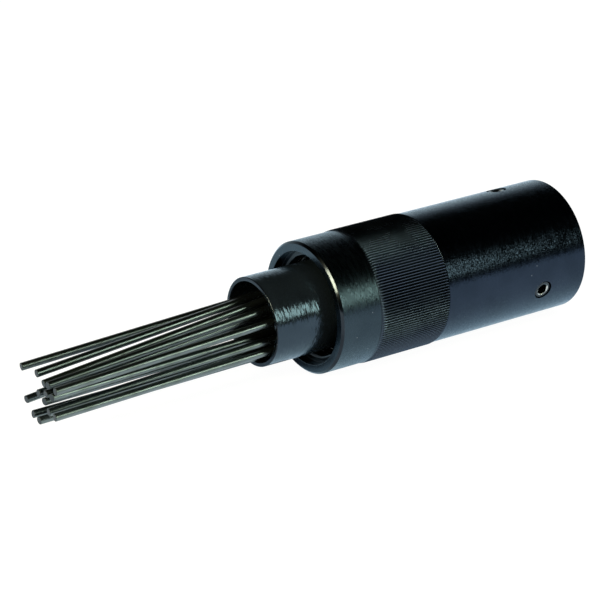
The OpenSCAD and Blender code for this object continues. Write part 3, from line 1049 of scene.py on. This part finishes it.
print("thread:", 2 * THREAD_R, "mm across, pitch", THREAD_PITCH, "mm")

# %% Set screws
THREAD_STEP = 0.125
THREAD_WEAR = 0.25
KEY_HALF = 2.0
KEY_PLAY = 0.08
KEY_DEPTH = 3.0
KEY_POINT = 0.6
SCREW_RECESS = 0.4
SCREW_LENGTH = 6.0
CUP_R = 2.2
CUP_DEPTH = 0.8
CUP_RIM = 0.4
CUP_WEAR = 0.5
CONE_SLOPE = 1.2
TOP_ROOM = 0.6

# Each row is a depth below the top, a radius and the wear there.
SCREW_TOP = [
    (0.06, 3.3, 0),
    (0, 3.15, 0),
    (0, 2.75, 0.1),
    (0.1, 2.55, 0.7),
    (0.3, hexagon(KEY_HALF + KEY_PLAY), 0.7),
    (0.45, hexagon(KEY_HALF), 0.2),
    (KEY_DEPTH, hexagon(KEY_HALF), 0),
    (KEY_DEPTH + KEY_POINT, 0, 0),
]


def make_screw(node):
    """Builds a screw from its cup to the bottom of its hexagon."""
    outer = body_r - SCREW_RECESS
    inner = outer - SCREW_LENGTH
    outline = [
        (inner + CUP_DEPTH, 0, 0),
        (inner, CUP_R, CUP_WEAR),
        (inner, CUP_R + CUP_RIM, CUP_WEAR),
    ]
    for k in range(1, int(SCREW_LENGTH / THREAD_STEP)):
        x = inner + k * THREAD_STEP
        limit = CUP_R + CUP_RIM + CONE_SLOPE * min(x - inner, outer - x + TOP_ROOM)
        outline.append((x, thread(x, limit), THREAD_WEAR))
    outline += [(outer - depth, radius, wear) for depth, radius, wear in SCREW_TOP]
    screw = turned(node + "_threaded", outline, segments=72, closed=False)
    screw.matrix_world = screw_turn(node)
    stand_for(screw, node, screw_finish)


for screw_node in SCREW_NODES:
    make_screw(screw_node)

# %% [markdown]
# ## Spring
#
# The spring pushes the nose tube back after each blow. It is one wire along a helix: a circle is carried
# along the curve, ring by ring. When the nose is driven forward the spring gets shorter, but here it rides
# with its body at its full length.

# %% Spring
spring_low, spring_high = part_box("nose_spring")
WIRE_R = 1.1
CURLS = 3.75
RINGS_PER_CURL = 64
WIRE_SIDES = 16
spring_r = (spring_high.y - spring_low.y) / 2 / MM - WIRE_R


def make_spring():
    """Carries a circle along a helix and closes both ends."""
    mesh = bmesh.new()
    start, end = spring_low.x / MM + WIRE_R, spring_high.x / MM - WIRE_R
    steps = round(CURLS * RINGS_PER_CURL)
    rings = []
    for k in range(steps + 1):
        share = k / steps
        angle = 2 * math.pi * CURLS * share
        ring = []
        for side in range(WIRE_SIDES):
            around = 2 * math.pi * side / WIRE_SIDES
            r = spring_r + WIRE_R * math.cos(around)
            x = start + (end - start) * share + WIRE_R * math.sin(around)
            ring.append(mesh.verts.new((x * MM, r * MM * math.cos(angle), r * MM * math.sin(angle))))
        rings.append(ring)
    for ring, following in zip(rings, rings[1:]):
        for side in range(WIRE_SIDES):
            other = (side + 1) % WIRE_SIDES
            mesh.faces.new((ring[side], ring[other], following[other], following[side]))
    mesh.faces.new(rings[0])
    mesh.faces.new(rings[-1])
    return piece_from("nose_spring_wire", mesh)


spring = make_spring()
stand_for(spring, "nose_spring", spring_finish)
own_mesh(spring)

# %% [markdown]
# ## Inner pieces
#
# These pieces show only from the ends or when the head is opened: the anvil and its bush, the rubber
# buffer, the washer, the holder with its holes, and two circlips. They are turned like the rest. The
# circlips are plain stampings, so their CAD meshes stay and get their finish.

# %% Anvil and bush
anvil_front, anvil_rear, anvil_r = reach("anvil")
SHANK_R = mounts["anvil_shank"]["dims"]["r_mm"]
SHANK_LENGTH = mounts["anvil_shank"]["dims"]["length_mm"]
JOURNAL_R = 5.5
ANVIL_HEAD = 7.0
CENTRE_DRILL = 1.6
RUNNING_GAP = 0.05
journal_rear = mounts["anvil_shank"]["pos_m"][0] / MM - SHANK_LENGTH / 2

anvil = turned("anvil_turned", rounded([
    (anvil_front, 0, 0),
    (anvil_front, anvil_r, 0.9),
    (anvil_front + ANVIL_HEAD, anvil_r, 0.9),
    (anvil_front + ANVIL_HEAD, JOURNAL_R, 0),
    (journal_rear, JOURNAL_R, 0.2),
    (journal_rear, SHANK_R, 0),
    (anvil_rear, SHANK_R, 0.8),
    (anvil_rear, CENTRE_DRILL, 0.15),
    (anvil_rear - CENTRE_DRILL, 0, 0),
]), segments=128, closed=False)
stand_for(anvil, "anvil", hard_finish)

bush = turned("anvil_bush", rounded([
    (guide_front, JOURNAL_R + RUNNING_GAP, 0.3),
    (guide_front, guide_r, 0.4),
    (guide_rear, guide_r, 0.4),
    (guide_rear, JOURNAL_R + RUNNING_GAP, 0.4),
]), segments=192)
stand_for(bush, "anvil_guide", bronze_finish)

# %% Buffer and washer
BUFFER_BORE = 6.0
buffer_front, buffer_rear, buffer_r = reach("recoil_buffer")
buffer = turned("rubber_buffer", rounded([
    (buffer_front, BUFFER_BORE, 0.4),
    (buffer_front, buffer_r, 0.9),
    (buffer_rear, buffer_r, 0.9),
    (buffer_rear, BUFFER_BORE, 0.4),
]), segments=128)
stand_for(buffer, "recoil_buffer", rubber_finish)

washer = turned("spring_ring_washer", rounded([
    (washer_front, LIP_R, 0.25),
    (washer_front, washer_r, 0.3),
    (washer_rear, washer_r, 0.3),
    (washer_rear, LIP_R, 0.25),
]), segments=192)
stand_for(washer, "spring_washer", spring_finish)

# %% Needle holder
HOLE_R = 2.075
DRILL_OVERRUN = 1
holder = turned("drilled_holder", rounded([
    (holder_front, 0, 0),
    (holder_front, holder_r, 0.35),
    (holder_rear, holder_r, 0.35),
    (holder_rear, 0, 0),
]), segments=160, closed=False)


def needle_drill(node):
    """A drill through the holder where a needle passes its middle."""
    tip, axis, _ = needle_place(node)
    middle = tip + axis * ((holder_front + holder_rear) / 2 * MM - tip.x) / axis.x
    drill = turned(node + "_drill", [
        (holder_front - DRILL_OVERRUN, 0, 0),
        (holder_front - DRILL_OVERRUN, HOLE_R, 0),
        (holder_rear + DRILL_OVERRUN, HOLE_R, 0),
        (holder_rear + DRILL_OVERRUN, 0, 0),
    ], segments=32, closed=False)
    drill.location = (0, middle.y, middle.z)
    return drill


cut_away(holder, [needle_drill(node) for node in NEEDLE_NODES])
stand_for(holder, "needle_holder", hard_finish)

# %% Circlips
for clip_node in ("guide_circlip", "holder_circlip"):
    clip_mesh = frame["nodes"][clip_node].data
    clip_mesh.materials.clear()
    clip_mesh.materials.append(spring_finish)
    print(clip_node, "keeps its CAD mesh")

# %% [markdown]
# ## Sizes
#
# The box of the CAD model is printed at the end. The finer pieces must not outgrow the CAD model.

# %% Sizes
print("CAD box:", cad_box)
